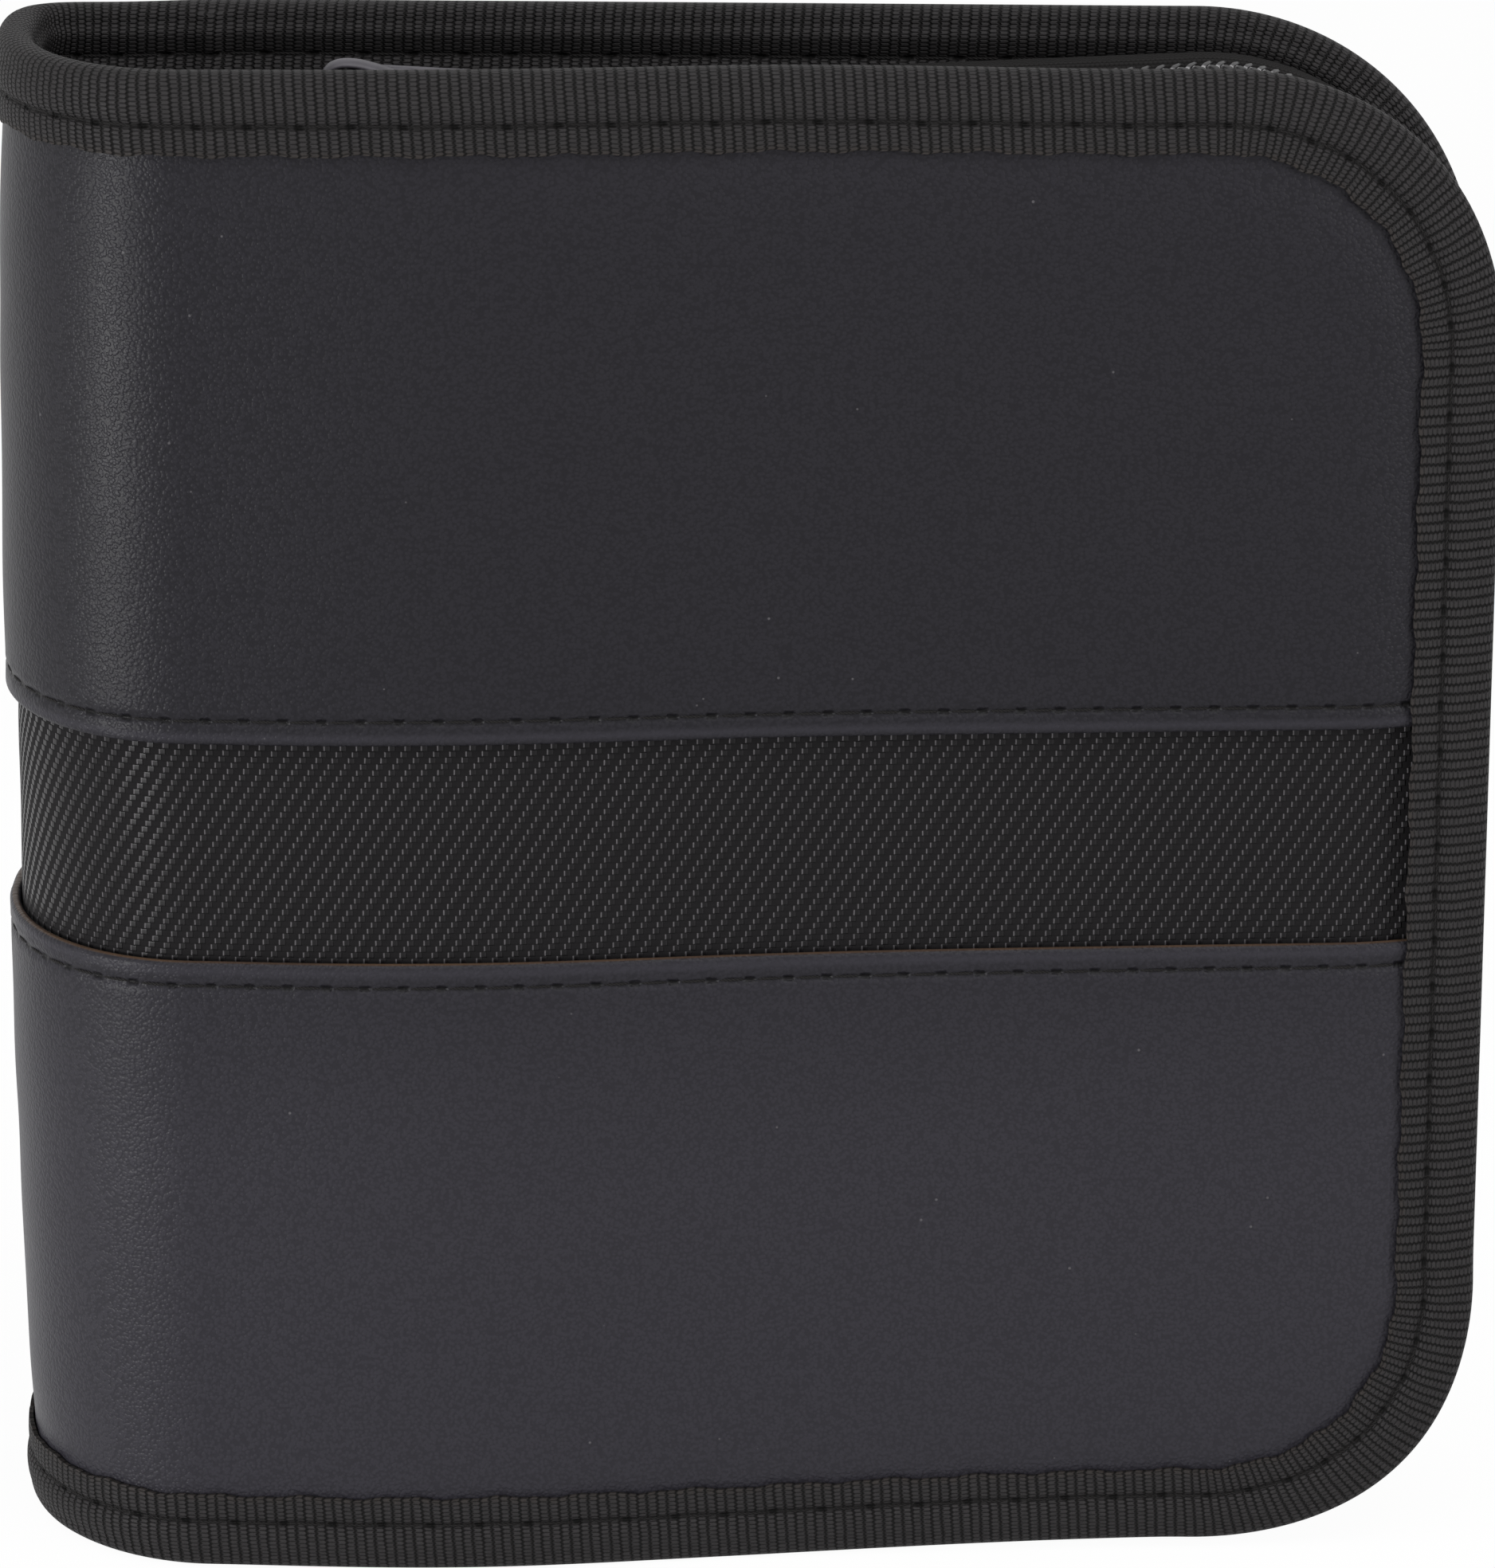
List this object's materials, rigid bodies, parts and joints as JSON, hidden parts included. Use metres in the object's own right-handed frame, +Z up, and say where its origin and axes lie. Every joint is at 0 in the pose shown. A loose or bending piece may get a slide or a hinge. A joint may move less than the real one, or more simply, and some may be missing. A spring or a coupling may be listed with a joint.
{
  "type": "cd storage case",
  "caption": "Zipped wallet for discs in dark leatherette with a woven stripe and bound edges, a rolled spine that opens like a book, and a sliding zip with a swinging pull.",
  "frame": {"origin": "bottom centre of the closed wallet, standing on its lower rim", "axes": "+Z up along the spine, the spine at -X and the zipped opening at +X, the front cover towards -Y"},
  "size_m": [0.155, 0.0384, 0.162],
  "materials": {
    "leatherette": "fine grain, dull",
    "stripe": "black nylon twill",
    "foam": "soft grey foam",
    "board": "plain grey-brown board",
    "lining": "black woven lining",
    "binding": "black ribbed tape",
    "zip_cloth": "black zip tape",
    "zip_teeth": "dark nylon coil",
    "zip_stop": "crimped metal",
    "slider": "dark grey, satin",
    "pull": "smooth grey",
    "sleeves": "dark smooth film"
  },
  "bodies": {
    "back_cover": {"back_upper_panel": "leatherette", "back_lower_panel": "leatherette", "back_stripe": "stripe", "back_foam": "foam", "back_board": "board", "back_lining": "lining", "back_binding": "binding", "back_zip_tape": "zip_cloth", "back_zip_teeth": "zip_teeth", "back_zip_stop_upper": "zip_stop", "back_zip_stop_lower": "zip_stop", "sleeve_pages": "sleeves"},
    "spine": {"spine_upper_panel": "leatherette", "spine_lower_panel": "leatherette", "spine_stripe": "stripe", "spine_foam": "foam", "spine_lining": "lining", "spine_top_binding": "binding", "spine_bottom_binding": "binding"},
    "front_cover": {"front_upper_panel": "leatherette", "front_lower_panel": "leatherette", "front_stripe": "stripe", "front_foam": "foam", "front_board": "board", "front_lining": "lining", "front_binding": "binding", "front_zip_tape": "zip_cloth", "front_zip_teeth": "zip_teeth", "front_zip_stop_upper": "zip_stop", "front_zip_stop_lower": "zip_stop"},
    "zip_slider": {"zip_slider": "slider"},
    "zip_pull": {"zip_pull": "pull"}
  },
  "joints": [
    {"name": "spine_fold", "type": "hinge", "parent": "back_cover", "child": "spine", "pos_m": [-0.0575, 0.0193, 0.081], "axis": [0, 0, -1], "range_deg": [0, 90]},
    {"name": "front_cover_fold", "type": "hinge", "parent": "spine", "child": "front_cover", "pos_m": [-0.0575, -0.0193, 0.081], "axis": [0, 0, -1], "range_deg": [0, 90]},
    {"name": "zip_slide", "type": "slide", "parent": "back_cover", "child": "zip_slider", "axis": [0.9991, 0, 0.0418], "range_m": [-0.0074, 0.082], "deforming": ["front_zip_teeth", "back_zip_teeth"]},
    {"name": "pull_swing", "type": "hinge", "parent": "zip_slider", "child": "zip_pull", "pos_m": [-0.04134, 0, 0.15788], "axis": [0, -1, 0], "range_deg": [0, 170]}
  ],
  "couplings": [
    {"joint": "front_cover_fold", "follows": "spine_fold", "ratio": 1}
  ]
}
